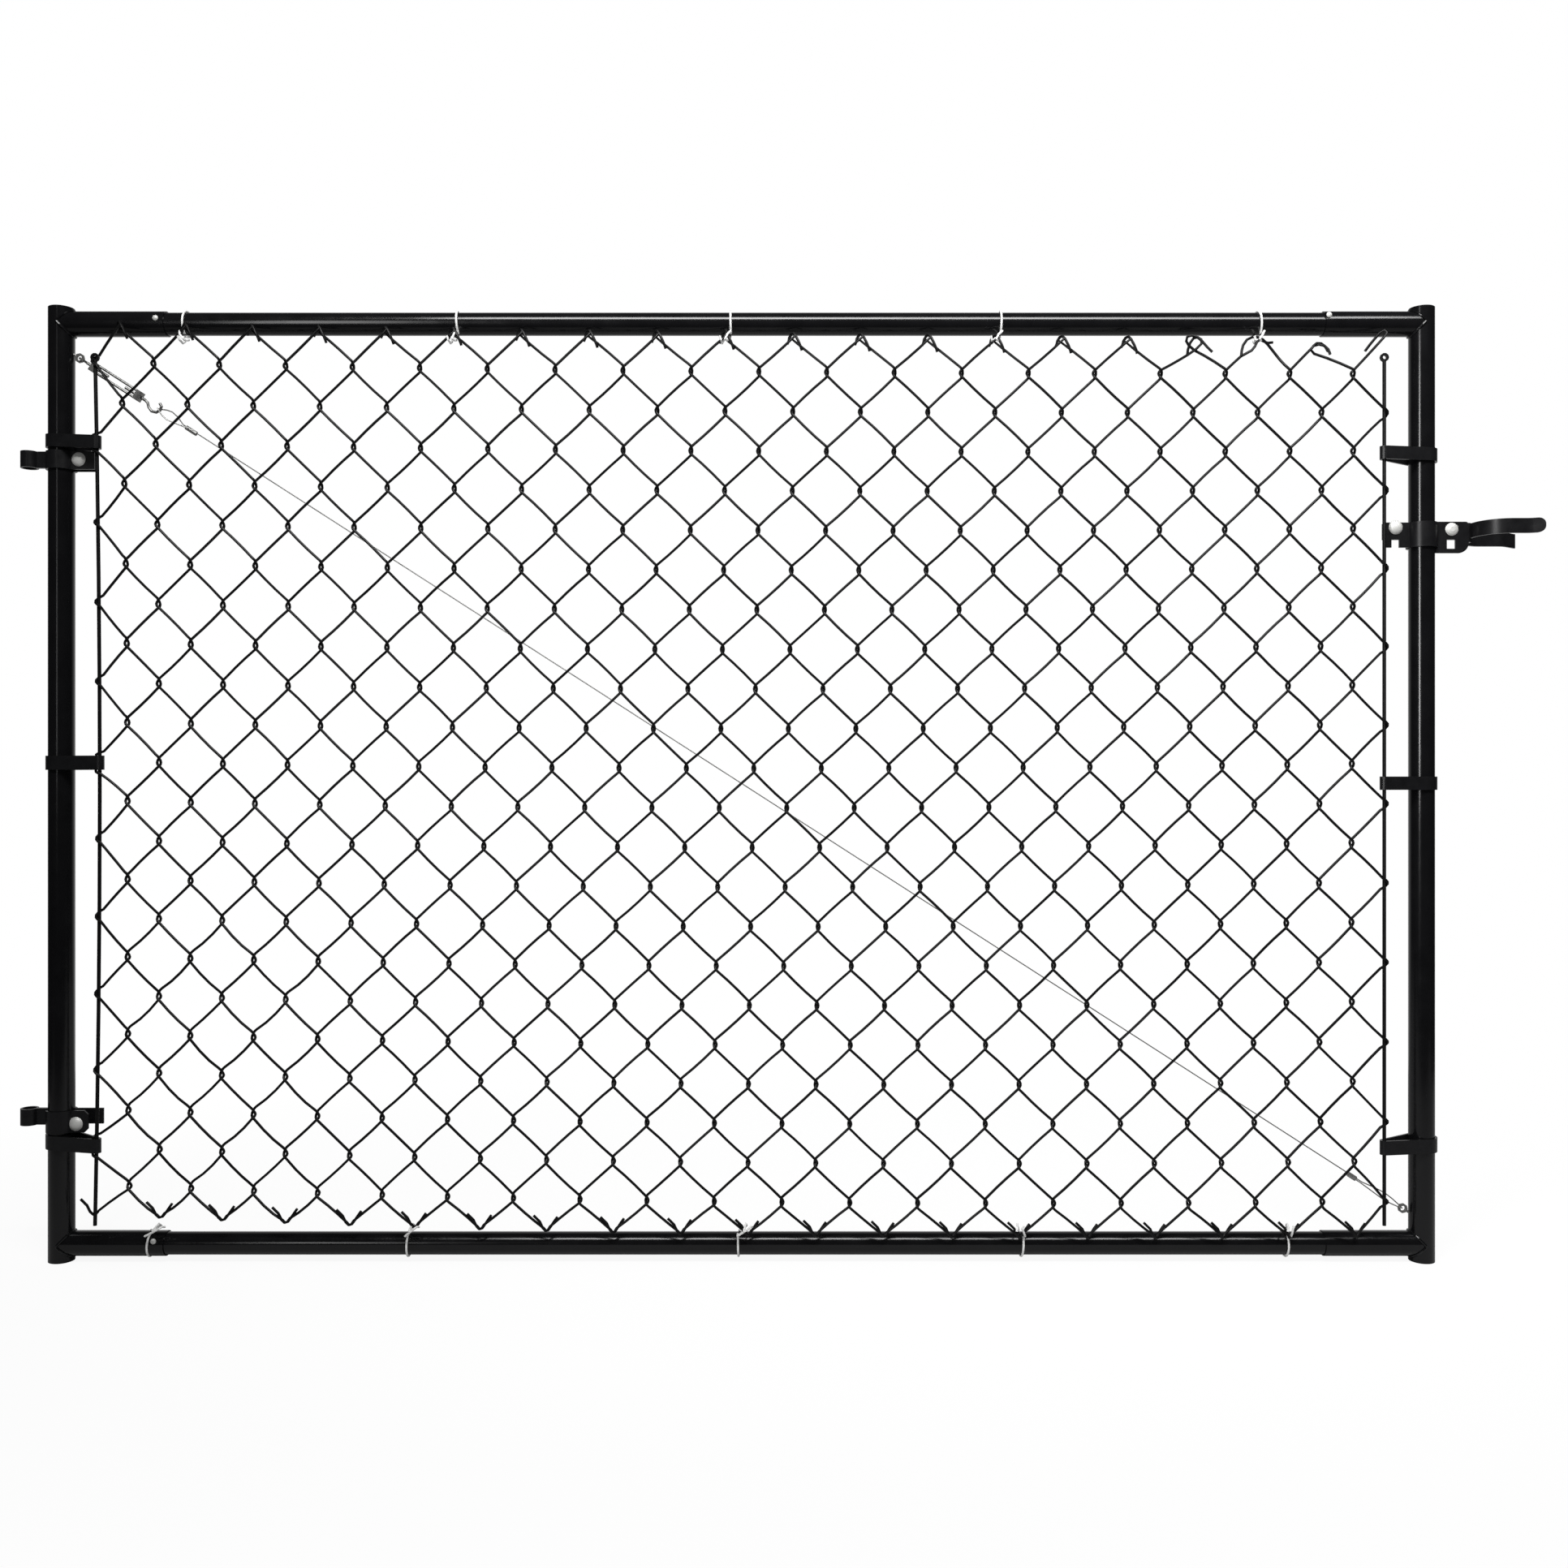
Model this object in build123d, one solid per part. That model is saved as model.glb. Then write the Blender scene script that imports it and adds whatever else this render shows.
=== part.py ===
from build123d import *
import math
import os

# Adjustable chain link gate leaf, in millimetres.
# X runs from the hinge side to the latch side, Y away from the viewer, Z up.
# The model is drawn from the hinge pin axis at the height of the lower eye's bottom face.
# At the end it is moved so that the origin lies on that face, beside the pin hole.

# Frame tubes
UPRIGHT_OD = 31.8
UPRIGHT_WALL = 1.5
UPRIGHT_SPACING = 1742.5
RAIL_OD = 28.6
RAIL_WALL = 1.5
STUB_WALL = 1.5
PIN_TO_UPRIGHT = 41.0
SEAT_OFFSET = 10.0
FRAME_TOP = 1045.0
FRAME_BOTTOM = -174.0
TOP_RAIL_Z = 1025.0
BOTTOM_RAIL_Z = -152.0
LEFT_STUB_END = 177.0
RIGHT_STUB_END = 1656.0
RAIL_INSERT = 65.0

LEFT_X = PIN_TO_UPRIGHT
RIGHT_X = PIN_TO_UPRIGHT + UPRIGHT_SPACING
UPRIGHT_R = UPRIGHT_OD / 2
RAIL_R = RAIL_OD / 2

# Chain link fabric
FABRIC_Y = -21.7
WIRE_WIDTH = 3.0
WIRE_DEPTH = 5.0
COLUMNS = 39
LEGS = 23
LEFT_BAR_X = 97.0
RIGHT_BAR_X = 1726.6
COLUMN_PITCH = (RIGHT_BAR_X - LEFT_BAR_X) / COLUMNS
FABRIC_TOP = 1012.0
ROW_PITCH = 50.05
LEFT_RISE = 6.0
BAY_SPLITS = (13, 26)

# Tension bars and bands
BAR_R = 2.45
LEFT_BAR_BOW = 6.0
BAR_TOP = 981.0
BAR_BOTTOM = -123.0
BAND_WALL = 2.6
LEFT_BANDS = ((868.7, 16.4), (463.0, 18.0), (-21.7, 18.0))
RIGHT_BANDS = ((855.2, 16.6), (437.0, 17.0), (-24.0, 18.0))
LEFT_BAND_LEANS = (4.0, 0.0, 1.5)

# Hinges
EYE_HEIGHT = 21.0
EYE_HOLE_R = 8.3
EYE_OUTER_R = 10.8
STRAP = 2.5
HINGE_FLANGE_GAP = 12.0
BOLT_HOLE = 8.4

# Fork latch
LATCH_STRAP = 3.0
LATCH_TOP = 770.0
LATCH_BOTTOM = 738.0
LUG_BOTTOM = 749.5
PIVOT_X = RIGHT_X + 35.7
PIVOT_Z = 761.2
PIVOT_R = 3.95
NECK_THICKNESS = 6.0
NECK_GAP = 6.6
FORK_ROOT = 25.0
FORK_FRONT_Y = -42.0
FORK_BACK_Y = 33.0
ARM_HEIGHT = 18.5
ARM_THICKNESS = 3.2

# Truss cable with turnbuckle
CABLE_START = (57.1, 986.2)
CABLE_END = (1766.4, -112.1)
CABLE_R = 0.8
CABLE_LAY = 1.75


def tube(radius, wall, length):
    outer = Cylinder(radius, length)
    return outer - Cylinder(radius - wall, length + 2)


def upright_tube(x):
    height = FRAME_TOP - FRAME_BOTTOM
    body = tube(UPRIGHT_R, UPRIGHT_WALL, height)
    return Pos(x, 0, (FRAME_TOP + FRAME_BOTTOM) / 2) * body


def level_tube(x_from, x_to, z, radius, wall):
    body = Rot(0, 90, 0) * tube(radius, wall, x_to - x_from)
    return Pos((x_from + x_to) / 2, 0, z) * body


# Stub tube with a coped end that saddles the upright
def stub_tube(axis_x, end_x, z):
    low = min(axis_x, end_x)
    high = max(axis_x, end_x)
    body = level_tube(low, high, z, UPRIGHT_R, STUB_WALL)
    return body - Pos(axis_x, 0, z) * Cylinder(UPRIGHT_R, 60)


# Position of the slightly bowed left tension bar at a height
def left_bar_x(z):
    middle = (BAR_TOP + BAR_BOTTOM) / 2
    half = (BAR_TOP - BAR_BOTTOM) / 2
    part = (z - middle) / half
    return LEFT_BAR_X + LEFT_BAR_BOW * (0.55 - part * part)


def tension_bar(bar_x):
    ends = (BAR_BOTTOM, (BAR_TOP + BAR_BOTTOM) / 2, BAR_TOP - 7)
    points = [(bar_x(z), FABRIC_Y, z) for z in ends]
    path = ThreePointArc(*points) if abs(bar_x(0) - bar_x(BAR_TOP)) > 0.1 else Line(points[0], points[2])
    profile = Plane(origin=path @ 0, z_dir=path % 0) * RegularPolygon(BAR_R, 8)
    rod = sweep(profile, path=path)
    eye = RegularPolygon(5.6, 10) - RegularPolygon(2.4, 10)
    spot = Pos(bar_x(BAR_TOP), FABRIC_Y, BAR_TOP - 5) * Rot(90, 0, 0)
    return rod - spot * Cylinder(3.6, 9) + spot * extrude(eye, 1.5, both=True)


# Flat outline of a belt laid round a circle and, in short flats, round a smaller one
def belt(first, first_r, second, second_r):
    dx = second[0] - first[0]
    dy = second[1] - first[1]
    heading = math.atan2(dy, dx)
    lean = math.acos((first_r - second_r) / math.hypot(dx, dy))

    def spot(centre, radius, turn):
        angle = heading + turn
        return centre[0] + radius * math.cos(angle), centre[1] + radius * math.sin(angle)

    bend = [spot(second, second_r, lean * (step / 3 - 1)) for step in range(7)]
    flat = Polygon(spot(first, first_r, -lean), *bend, spot(first, first_r, lean), align=None)
    return flat + Pos(*first) * Circle(first_r)


def tension_band(axis_x, bar_x, z, height, lean=0.0):
    outer = belt((axis_x, 0), UPRIGHT_R + 0.1 + BAND_WALL, (bar_x, FABRIC_Y), BAR_R + 0.5 + BAND_WALL)
    inner = belt((axis_x, 0), UPRIGHT_R + 0.1, (bar_x, FABRIC_Y), BAR_R + 0.5)
    strap = Pos(0, 0, z - height) * extrude(outer - inner, 2 * height)
    return strap & (Pos(bar_x, 0, z) * Rot(0, lean, 0) * Box(260, 90, height))


# Female hinge: eye, doubled neck, collar round the upright and two bolted flanges
def female_hinge(eye_bottom, body_bottom, body_height, front, back, bolt):
    front_reach, chamfer_size = front
    back_reach, back_lift = back
    collar_r = UPRIGHT_R + 0.1
    offset = HINGE_FLANGE_GAP / 2 + STRAP / 2
    neck = Pos(PIN_TO_UPRIGHT / 2, 0) * Rectangle(PIN_TO_UPRIGHT, 2 * STRAP + 0.4)
    eye_flat = Circle(EYE_OUTER_R) + neck - Circle(EYE_HOLE_R) - Pos(LEFT_X, 0) * Circle(collar_r + 1)
    eye = Pos(0, 0, eye_bottom) * extrude(eye_flat, EYE_HEIGHT)
    ring = Pos(LEFT_X, 0) * (Circle(collar_r + STRAP) - Circle(collar_r))
    mouth = Pos(LEFT_X + collar_r + 1, 0) * Rectangle(12, HINGE_FLANGE_GAP)
    collar = extrude(ring - mouth, body_height)
    start = collar_r - 0.6
    for reach, side, lift in ((front_reach, -1, 0), (back_reach, 1, back_lift)):
        plate = Box(reach - start, STRAP, body_height - lift)
        if side < 0 and chamfer_size > 0:
            plate = chamfer_end(plate, chamfer_size)
        centre = (LEFT_X + (start + reach) / 2, side * offset, (body_height + lift) / 2)
        collar = collar + Pos(*centre) * plate
    collar = collar - Pos(LEFT_X, 0, body_height / 2) * Cylinder(collar_r, 60)
    hole = Pos(LEFT_X + bolt[0], 0, bolt[1] - body_bottom) * Box(BOLT_HOLE, 40, BOLT_HOLE)
    return eye + Pos(0, 0, body_bottom) * (collar - hole)


def chamfer_end(plate, size):
    corners = plate.edges().filter_by(Axis.Y).group_by(Axis.X)[-1]
    return chamfer(corners, size)


# One half of the latch clamp: the front one has deep flanges, the back one only short lugs
def latch_clamp(side):
    height = LATCH_TOP - LATCH_BOTTOM
    middle = (LATCH_TOP + LATCH_BOTTOM) / 2
    collar_r = UPRIGHT_R + 0.1
    half = Circle(collar_r + LATCH_STRAP) - Circle(collar_r)
    half = half & (Pos(0, side * (NECK_GAP / 2 + 20)) * Rectangle(80, 40))
    shell = Pos(0, 0, LATCH_BOTTOM) * extrude(half, height)
    offset = side * (NECK_GAP / 2 + LATCH_STRAP / 2)
    start = collar_r - 0.8
    left = Pos(-(48.4 + start) / 2, offset, middle) * Box(48.4 - start, LATCH_STRAP, height)
    notch = Pos(-36.0, offset, LATCH_BOTTOM) * Box(10.1, 12, 20.2)
    right = Pos((57.6 + start) / 2, offset, 751.0)
    right = right * Box(57.6 - start, LATCH_STRAP, 40)
    corner = right.edges().filter_by(Axis.Y).group_by(Axis.X)[-1].sort_by(Axis.Z)[0]
    right = fillet(corner, 13)
    upper = right.edges().filter_by(Axis.Y).group_by(Axis.X)[-1].sort_by(Axis.Z)[-1]
    right = fillet(upper, 4)
    if side < 0:
        square = Pos(35.2, offset, 742.4) * Box(11.1, 12, 11.7)
        body = shell + (left - notch) + (right - square)
    else:
        lugs = left + right
        body = shell + (lugs - Pos(0, offset, LUG_BOTTOM - 30) * Box(140, 12, 60))
    body = body - Pos(0, 0, 751) * Cylinder(collar_r, 80)
    body = body - Pos(-36, 0, 763.5) * Box(BOLT_HOLE, 40, BOLT_HOLE)
    neck_hole = 2 * PIVOT_R + 0.1
    body = body - Pos(PIVOT_X - RIGHT_X, 0, PIVOT_Z) * Box(neck_hole, 40, neck_hole)
    return Pos(RIGHT_X, 0, 0) * body


# Disc of 24 sides, tapered towards its top
def disc(bottom, top, radius, taper=0):
    return Pos(0, 0, bottom) * extrude(RegularPolygon(radius, 24), top - bottom, taper=taper)


# Carriage bolt that the fork swings on, with its washer and nut behind
def pivot_bolt():
    reach = NECK_GAP / 2 + LATCH_STRAP
    shank = Pos(0, 0, -4.0) * Cylinder(PIVOT_R, 2 * reach + 12)
    head = disc(reach, reach + 0.8, 8.3) + disc(reach + 0.8, reach + 2.4, 8.3, 50)
    head = head + disc(reach + 2.4, reach + 3.6, 6.37, 70)
    washer = disc(-reach - 1.4, -reach, 8.6)
    nut = Pos(0, 0, -reach - 7.6) * extrude(RegularPolygon(7.4, 6), 6.4)
    return Pos(PIVOT_X, 0, PIVOT_Z) * Rot(90, 0, 0) * (shank + head + washer + nut)


# Plan outline of one fork arm: a strap that leaves the neck square, bends forward and flares
def arm_flat(level, reach, flare_from, flare):
    side = 1 if level > 0 else -1
    inner_x = FORK_ROOT + ARM_THICKNESS
    inner_y = level - side * ARM_THICKNESS
    corners = (
        (FORK_ROOT, 0),
        (FORK_ROOT, level),
        (flare_from, level),
        (reach, level + side * flare),
        (reach, inner_y + side * flare),
        (flare_from, inner_y),
        (inner_x, inner_y),
        (inner_x, 0),
    )
    flat = Polygon(*(corners if side < 0 else corners[::-1]), align=None)
    bend = abs(level) - 5
    for spot, radius in (
        ((FORK_ROOT, level), bend),
        ((inner_x, inner_y), bend - ARM_THICKNESS),
        ((flare_from, level), 16),
        ((flare_from, inner_y), 16 + ARM_THICKNESS),
    ):
        flat = fillet(flat.vertices().sort_by_distance((*spot, 0))[0], radius)
    return flat


# Fork of the latch: flat neck on the pivot bolt and two arms that straddle the post
def fork():
    front_flat = arm_flat(FORK_FRONT_Y, 98.0, 82.0, 7.0)
    back_flat = arm_flat(FORK_BACK_Y, 108.0, 84.0, 16.0)
    front = Pos(0, 0, -10.6) * extrude(front_flat, ARM_HEIGHT, dir=(0, 0, 1))
    back = Pos(0, 0, -15.6) * extrude(back_flat, ARM_HEIGHT, dir=(0, 0, 1))
    side_view = Rectangle(98.0, ARM_HEIGHT)
    side_view = fillet(side_view.vertices().group_by(Axis.X)[-1], 8)
    front = front & (Pos(49.0, 0, ARM_HEIGHT / 2 - 10.6) * Rot(90, 0, 0) * extrude(side_view, 70, both=True))
    neck_flat = Circle(9.0) + Pos(8, -2.5) * Rectangle(16, 13)
    neck_flat = neck_flat + Pos(FORK_ROOT - 5, -3.35) * Rectangle(12, 24.5)
    neck = extrude(neck_flat, NECK_THICKNESS / 2, both=True)
    body = Rot(90, 0, 0) * neck + front + back
    body = body - Rot(90, 0, 0) * Cylinder(PIVOT_R + 0.05, 40)
    return Pos(PIVOT_X, 0, PIVOT_Z) * body


# Frame laid along the truss cable, so that a distance along it is a local X
CABLE_LENGTH = math.hypot(CABLE_END[0] - CABLE_START[0], CABLE_END[1] - CABLE_START[1])
CABLE_SLOPE = math.degrees(math.atan2(CABLE_START[1] - CABLE_END[1], CABLE_END[0] - CABLE_START[0]))


def along_cable(shape):
    return Pos(CABLE_START[0], 0, CABLE_START[1]) * Rot(0, CABLE_SLOPE, 0) * shape


def rod_x(x_from, x_to, radius, z=0.0):
    return Pos(x_from, 0, z) * Rot(0, 90, 0) * extrude(RegularPolygon(radius, 8), x_to - x_from)


# Flat wire eye, as an eight-sided ring
def wire_eye(x, hole_r, wire):
    ring = RegularPolygon(hole_r + wire, 8, rotation=22.5) - RegularPolygon(hole_r, 8, rotation=22.5)
    return Pos(x, 0, 0) * extrude(ring, wire / 2, both=True)


def eye_screw(at_start):
    reach = 8.6
    if at_start:
        ring = Rot(90, 0, 0) * wire_eye(reach, 3.3, 2.9)
        return along_cable(ring + rod_x(-3.0, reach - 4.6, 1.6))
    far = CABLE_LENGTH
    ring = Rot(90, 0, 0) * wire_eye(far - reach, 3.3, 2.9)
    return along_cable(ring + rod_x(far - reach + 4.6, far + 3.0, 1.6))


def turnbuckle_eye():
    return along_cable(wire_eye(14.4, 3.3, 2.9) + rod_x(19.6, 52.0, 1.9))


def turnbuckle_body():
    side = rod_x(30, 99, 1.7, 4.7) + rod_x(30, 99, 1.7, -4.7)
    ends = Pos(31, 0, 0) * Box(9, 7.5, 12.8) + Pos(98, 0, 0) * Box(9, 7.5, 12.8)
    bore = rod_x(20, 110, 2.0)
    return along_cable(side + ends - bore)


# Wire of a few sides bent through the points of a path
def bent_wire(points, radius, sides):
    path = Polyline(*points)
    profile = Plane(origin=path @ 0, z_dir=path % 0) * RegularPolygon(radius, sides)
    return sweep(profile, path=path, transition=Transition.RIGHT)


def turnbuckle_hook():
    points = (
        (108.0, 0, 0),
        (112.5, 0, -1.0),
        (116.5, 0, -5.0),
        (122.5, 0, -7.4),
        (128.5, 0, -5.4),
        (131.2, 0, -0.6),
        (130.0, 0, 4.4),
        (126.0, 0, 6.8),
    )
    return along_cable(rod_x(78, 108.6, 1.9) + bent_wire(points, 1.8, 8))


# Points of a cable end: a tail beside the cable, a loop round a wire, and the cable itself
def loop_points(x_sleeve, x_tip, spread, wire_r):
    away = 1 if x_tip > x_sleeve else -1
    gap = wire_r + CABLE_R + 0.35
    span = abs(x_tip - x_sleeve)
    out = [
        (x_tip - away * 0.6, gap * 0.85, 0.2),
        (x_tip - away * 3.2, gap, spread * 0.25),
        (x_tip - away * span * 0.25, gap * 0.9, spread * 0.75),
        (x_sleeve + away * span * 0.55, gap * 0.5, spread),
        (x_sleeve + away * span * 0.3, gap * 0.2, spread * 0.75),
    ]
    back = [(x, -y, -z) for x, y, z in reversed(out)]
    tail = [(x_sleeve - away * 22, 0, -CABLE_LAY), (x_sleeve - away * 2, 0, -CABLE_LAY)]
    return [*tail, *back, *out, (x_sleeve, 0, 0)]


def truss_cable():
    far = CABLE_LENGTH
    near_end = loop_points(166.0, 127.9, 6.0, 1.7)
    far_end = loop_points(far - 70.0, far - 9.9, 4.0, 1.5)
    return along_cable(bent_wire([*near_end, *reversed(far_end)], CABLE_R, 8))


# Crimped sleeve over the cable and its tail
def cable_sleeve(x_from, x_to, radius):
    sleeve = rod_x(x_from, x_to, radius, -CABLE_LAY / 2)
    for z in (0, -CABLE_LAY):
        sleeve = sleeve - rod_x(x_from - 1, x_to + 1, CABLE_R + 0.1, z)
    return along_cable(sleeve)


def column_x(column):
    return LEFT_BAR_X + column * COLUMN_PITCH


# Height of a lattice crossing, a little higher on the hinge side
def node_z(column, row):
    lean = 1 - column / COLUMNS
    return FABRIC_TOP - (row + 1) * ROW_PITCH + LEFT_RISE * (2 * lean * lean * row / LEGS)


# Spot where a leg meets the turn round a tension bar, above or below any band in its way
def edge_spot(column, row, up):
    z = node_z(column, row)
    bands = LEFT_BANDS if column == 0 else RIGHT_BANDS
    for band_z, height in bands:
        room = height / 2 + 9.0
        if abs(z - band_z) < room:
            return band_z + (height / 2 + 5.2) * (1 if up else -1)
    return z


def end_spot(column, row, up):
    z = node_z(column, row)
    if column == 0:
        return left_bar_x(z) + 4.5, edge_spot(column, row, up)
    if column == COLUMNS:
        return RIGHT_BAR_X - 4.5, edge_spot(column, row, up)
    return column_x(column), z


# Straight run of wire as a four-sided bar on edge, cut upright at both ends
def lattice_bar(start, end, x_low, x_high):
    slope = (end[1] - start[1]) / (end[0] - start[0])
    stretch = math.hypot(1, slope)
    left = max(start[0], x_low)
    right = min(end[0], x_high)
    if right - left < 6:
        return None
    half = WIRE_WIDTH / 2 * stretch
    deep = WIRE_DEPTH / 2
    corner = (left, FABRIC_Y, start[1] + slope * (left - start[0]))
    section = Plane(origin=corner, x_dir=(0, 1, 0), z_dir=(1, 0, 0))
    flat = section * Polygon((-deep, 0), (0, -half), (deep, 0), (0, half), align=None)
    return extrude(flat, (right - left) * stretch, dir=(1, 0, slope))


# Turn of wire round a tension bar
def bar_turn(x, z, height):
    ring = RegularPolygon(6.0, 6) - RegularPolygon(2.95, 6)
    return Pos(x, FABRIC_Y, z - height / 2) * extrude(ring, height)


def lattice_runs():
    runs = []
    for total in range(-1 - COLUMNS, LEGS):
        cells = [(c, c + total) for c in range(COLUMNS + 1) if -1 <= c + total <= LEGS - 1]
        if (total % 2) == 0 and len(cells) > 1:
            runs.append((cells[0], cells[-1], False))
    for total in range(-1, COLUMNS + LEGS):
        cells = [(c, total - c) for c in range(COLUMNS + 1) if -1 <= total - c <= LEGS - 1]
        if (total % 2) == 0 and len(cells) > 1:
            runs.append((cells[0], cells[-1], True))
    return runs


def fabric_bay(first, last):
    x_low = -1000 if first == 0 else column_x(first)
    x_high = 5000 if last == COLUMNS else column_x(last)
    bars = []
    for start_cell, end_cell, rising in lattice_runs():
        start = end_spot(*start_cell, rising)
        end = end_spot(*end_cell, not rising)
        bar = lattice_bar(start, end, x_low, x_high)
        if bar is not None:
            bars.append(bar)
    if first == 0:
        bars.extend(edge_turns(0))
    if last == COLUMNS:
        bars.extend(edge_turns(COLUMNS))
    return bars[0].fuse(*bars[1:])


def edge_turns(column):
    turns = []
    for row in range(-1, LEGS):
        if (row + column) % 2:
            continue
        z = node_z(column, row)
        top = edge_spot(column, row, True)
        low = edge_spot(column, row, False)
        spots = [(z, 9.0)] if top == low else [(top, 8.4), (low, 8.4)]
        for spot, height in spots:
            x = left_bar_x(spot) if column == 0 else RIGHT_BAR_X
            turns.append(bar_turn(x, spot, height))
    return turns


def right_bar_x(z):
    return RIGHT_BAR_X


def upright_with_eye(x, screw):
    return upright_tube(x) - screw_hole(screw)


def screw_hole(at_start):
    if at_start:
        return along_cable(rod_x(-12.0, 4.0, 1.65))
    return along_cable(rod_x(CABLE_LENGTH - 4.0, CABLE_LENGTH + 12.0, 1.65))


def build_parts():
    parts = {
        "left_upright": upright_with_eye(LEFT_X, True),
        "right_upright": upright_with_eye(RIGHT_X, False),
        "left_top_stub": stub_tube(LEFT_X, LEFT_STUB_END, TOP_RAIL_Z),
        "left_bottom_stub": stub_tube(LEFT_X, LEFT_STUB_END, BOTTOM_RAIL_Z),
        "right_top_stub": stub_tube(RIGHT_X, RIGHT_STUB_END, TOP_RAIL_Z),
        "right_bottom_stub": stub_tube(RIGHT_X, RIGHT_STUB_END, BOTTOM_RAIL_Z),
        "left_tension_bar": tension_bar(left_bar_x),
        "right_tension_bar": tension_bar(right_bar_x),
        "upper_hinge": female_hinge(840.5, 837.5, 23.0, (46.0, 0), (42.0, 0), (26.0, 850.0)),
        "lower_hinge": female_hinge(0.0, -8.6, 28.0, (38.0, 5.0), (50.5, 8.0), (22.5, 2.4)),
        "latch_front_clamp": latch_clamp(-1),
        "latch_back_clamp": latch_clamp(1),
        "latch_pivot_bolt": pivot_bolt(),
        "latch_fork": fork(),
        "turnbuckle_body": turnbuckle_body(),
        "turnbuckle_eye": turnbuckle_eye(),
        "turnbuckle_hook": turnbuckle_hook(),
        "truss_cable": truss_cable(),
        "upper_cable_sleeve": cable_sleeve(171.0, 187.0, 2.9),
        "lower_cable_sleeve": cable_sleeve(CABLE_LENGTH - 91.0, CABLE_LENGTH - 79.5, 3.2),
        "upper_cable_eye_screw": eye_screw(True),
        "lower_cable_eye_screw": eye_screw(False),
    }
    for name, z in (("top_rail", TOP_RAIL_Z), ("bottom_rail", BOTTOM_RAIL_Z)):
        low = LEFT_STUB_END - RAIL_INSERT
        high = RIGHT_STUB_END + RAIL_INSERT
        parts[name] = level_tube(low, high, z, RAIL_R, RAIL_WALL)
    places = ("upper", "middle", "lower")
    for place, left, right, lean in zip(places, LEFT_BANDS, RIGHT_BANDS, LEFT_BAND_LEANS):
        parts["left_band_" + place] = tension_band(LEFT_X, left_bar_x(left[0]), *left, lean)
        parts["right_band_" + place] = tension_band(RIGHT_X, RIGHT_BAR_X, *right)
    parts["fabric_hinge_side"] = fabric_bay(0, BAY_SPLITS[0])
    parts["fabric_middle"] = fabric_bay(*BAY_SPLITS)
    parts["fabric_latch_side"] = fabric_bay(BAY_SPLITS[1], COLUMNS)
    return parts


os.makedirs("parts", exist_ok=True)
for part_name, part_shape in build_parts().items():
    placed = Pos(-SEAT_OFFSET, 0, 0) * part_shape
    export_step(placed, "parts/" + part_name + ".step")
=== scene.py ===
import bmesh
import bpy
import functools
import math
from mathutils import Matrix, Vector


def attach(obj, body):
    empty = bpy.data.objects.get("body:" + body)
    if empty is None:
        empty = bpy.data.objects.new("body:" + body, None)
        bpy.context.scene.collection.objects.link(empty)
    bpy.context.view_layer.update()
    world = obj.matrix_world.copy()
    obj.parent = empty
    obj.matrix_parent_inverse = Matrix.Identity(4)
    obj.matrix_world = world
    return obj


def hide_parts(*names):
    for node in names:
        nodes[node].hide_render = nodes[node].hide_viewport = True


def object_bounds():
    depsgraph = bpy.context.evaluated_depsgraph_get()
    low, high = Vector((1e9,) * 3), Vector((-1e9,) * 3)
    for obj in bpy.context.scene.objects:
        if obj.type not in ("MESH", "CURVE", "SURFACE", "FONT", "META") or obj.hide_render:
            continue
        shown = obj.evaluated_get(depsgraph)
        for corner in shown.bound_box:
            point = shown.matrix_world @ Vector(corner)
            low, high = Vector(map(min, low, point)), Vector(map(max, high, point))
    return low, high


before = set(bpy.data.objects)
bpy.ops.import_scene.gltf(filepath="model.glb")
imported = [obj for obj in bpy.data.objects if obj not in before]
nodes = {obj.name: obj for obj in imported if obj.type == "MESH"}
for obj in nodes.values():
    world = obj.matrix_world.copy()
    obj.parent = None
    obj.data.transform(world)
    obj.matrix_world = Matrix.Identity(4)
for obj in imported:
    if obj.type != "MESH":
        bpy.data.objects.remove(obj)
cad_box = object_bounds()

bl_info = {
    "name": "Chain link gate",
    "version": (1, 0, 0),
    "blender": (4, 0, 0),
    "location": "View3D > Sidebar > Gate",
    "description": "Dresses a chain link walk gate with woven fabric, ties, bolts and finishes",
    "category": "Object",
}

LEAF = "gate_leaf"

# The frame: where its tubes run, in metres.
LEFT_X = 0.031
RIGHT_X = 1.7735
UPRIGHT_R = 0.0159
RAIL_R = 0.0143
TOP_RAIL_Z = 1.025
BOTTOM_RAIL_Z = -0.152

# The camera stands square to the middle of the leaf.
MIDDLE_X = 0.9566
MIDDLE_Z = 0.436
CAMERA_Y = -1.820
PHOTO_WIDTH = 1932
FOCAL_PIXELS = 1750
SENSOR_WIDTH = 36.0
PIXEL = 0.00104

# The fabric: columns 0 and 39 are its edges, rows -1 and 22 its top and bottom ends.
FABRIC_Y = -0.0217
COLUMNS = 39
LAST_ROW = 22
HALF_COLUMNS = COLUMNS / 2
MIDDLE_ROW = (LAST_ROW - 1) / 2
HALF_ROWS = (LAST_ROW + 1) / 2
BAYS = (("hinge_side", 1, 13), ("middle", 14, 26), ("latch_side", 27, 39))
EDGE_REACH = 0.0041
EDGE_LEAD = 0.0034
LEAD = 0.0022
WAVER = 0.0009
SAGGED_PICKETS = range(2, 8)
SAGGED_BELOW_ROW = 14
SAG = 0.0016

# The tension bars. A band on the left one has its row of the fabric, its height and its width.
RIGHT_BAR_X = 1.7166
LEFT_BAR_X = 0.087
LEFT_BAR_BOW = 0.006
BAR_TOP = 0.981
BAR_BOTTOM = -0.123
LEFT_BANDS = ((2, 0.8687, 0.0164), (10, 0.4630, 0.0180), (20, -0.0217, 0.0180))
BAND_ROOM = 0.0012
BAND_REACH = 0.0047
BAND_TALL = 0.6

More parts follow.
